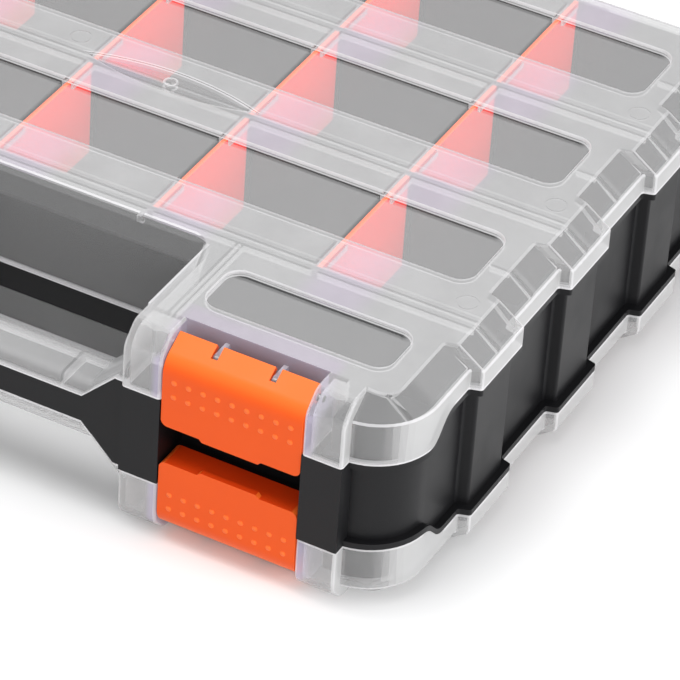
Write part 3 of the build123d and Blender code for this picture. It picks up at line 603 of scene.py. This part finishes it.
def paint_nodes():
    """Gives every CAD node its material."""
    slots = {row["node"]: row["material_slot"] for row in frame["record"]["subparts"]}
    materials = {
        "clear_plastic": clear_plastic(),
        "black_plastic": black_plastic(),
        "latch_orange": orange_plastic("latch_orange", LATCH_ORANGES, LATCH_SHEEN, 0.34),
        # the dividers glow faintly in their own colour: painted light, since they are no lamp
        "divider_orange": orange_plastic("divider_orange", DIVIDER_ORANGES, DIVIDER_SHEEN, 0.5, glow=0.33),
        "pin_steel": pin_steel(),
    }
    for name, piece in frame["nodes"].items():
        piece.data.materials.clear()
        piece.data.materials.append(materials[slots[name]])


def studio_rays(graph):
    """1 for the rays that see the backdrop itself: from the camera, by reflection or through glass."""
    path = graph.node("LightPath")
    return graph.most(path.outputs["Is Camera Ray"], path.outputs["Is Glossy Ray"],
                      path.outputs["Is Transmission Ray"])


def add_floor():
    """Wide pale floor that keeps the object's shadow."""
    graph = Graph("studio_floor")
    matt = graph.node("BsdfDiffuse", {"Color": graph.mix(graph.noise(3.0), *FLOOR_GREYS)})
    glow = graph.node("Emission", {"Color": WHITE, "Strength": graph.product(studio_rays(graph), FLOOR_GLOW)})
    both = graph.node("AddShader", {0: matt.outputs[0], 1: glow.outputs[0]})
    corners = [(x * FLOOR_HALF, y * FLOOR_HALF, FLOOR_Z) for x, y in ((-1, -1), (1, -1), (1, 1), (-1, 1))]
    mesh = bpy.data.meshes.new("studio_floor")
    mesh.from_pydata(corners, [], [(0, 1, 2, 3)])
    mesh.materials.append(graph.surface(both))
    floor = bpy.data.objects.new("studio_floor", mesh)
    bpy.context.scene.collection.objects.link(floor)


def add_world():
    """Even pale surroundings: white where they are seen, softer as light."""
    world = bpy.data.worlds.new("studio")
    bpy.context.scene.world = world
    world.use_nodes = True
    tree = world.node_tree
    tree.nodes.clear()
    path = tree.nodes.new("ShaderNodeLightPath")
    seen = tree.nodes.new("ShaderNodeMath")
    seen.operation = "MAXIMUM"
    tree.links.new(path.outputs["Is Camera Ray"], seen.inputs[0])
    tree.links.new(path.outputs["Is Transmission Ray"], seen.inputs[1])
    strength = tree.nodes.new("ShaderNodeMapRange")
    tree.links.new(seen.outputs[0], strength.inputs["Value"])
    strength.inputs["To Min"].default_value = WORLD_LIGHT
    strength.inputs["To Max"].default_value = WORLD_SEEN
    background = tree.nodes.new("ShaderNodeBackground")
    background.inputs["Color"].default_value = WHITE
    tree.links.new(strength.outputs[0], background.inputs["Strength"])
    output = tree.nodes.new("ShaderNodeOutputWorld")
    tree.links.new(background.outputs[0], output.inputs["Surface"])


def add_lamp(name, place, target, size, power):
    """Square soft lamp that looks at a target."""
    light = bpy.data.lights.new(name, "AREA")
    light.shape = "SQUARE"
    light.size = size
    light.energy = power
    lamp = bpy.data.objects.new(name, light)
    bpy.context.scene.collection.objects.link(lamp)
    lamp.location = place
    lamp.rotation_euler = (Vector(target) - Vector(place)).to_track_quat("-Z", "Y").to_euler()


def add_camera():
    """Camera at the photograph's angle."""
    turn, lift, roll = (math.radians(angle) for angle in (CAMERA_TURN, CAMERA_LIFT, CAMERA_ROLL))
    forward = Vector((-math.sin(turn) * math.cos(lift), math.cos(turn) * math.cos(lift), -math.sin(lift)))
    right = Vector((math.cos(turn), math.sin(turn), 0.0))
    up = right.cross(forward)
    across = right * math.cos(roll) + up * math.sin(roll)
    above = up * math.cos(roll) - right * math.sin(roll)
    data = bpy.data.cameras.new("camera")
    data.sensor_width = SENSOR
    data.lens = CAMERA_LENS
    data.clip_start = CLIP_START
    data.clip_end = CLIP_END
    camera = bpy.data.objects.new("camera", data)
    bpy.context.scene.collection.objects.link(camera)
    camera.matrix_world = Matrix((across, above, -forward)).transposed().to_4x4()
    camera.location = CAMERA_TARGET - forward * CAMERA_DISTANCE
    bpy.context.scene.camera = camera


add_camera()
paint_nodes()
add_floor()
add_world()
for lamp_name, settings in LAMPS.items():
    add_lamp(lamp_name, *settings)
bpy.context.scene.view_settings.view_transform = "Standard"
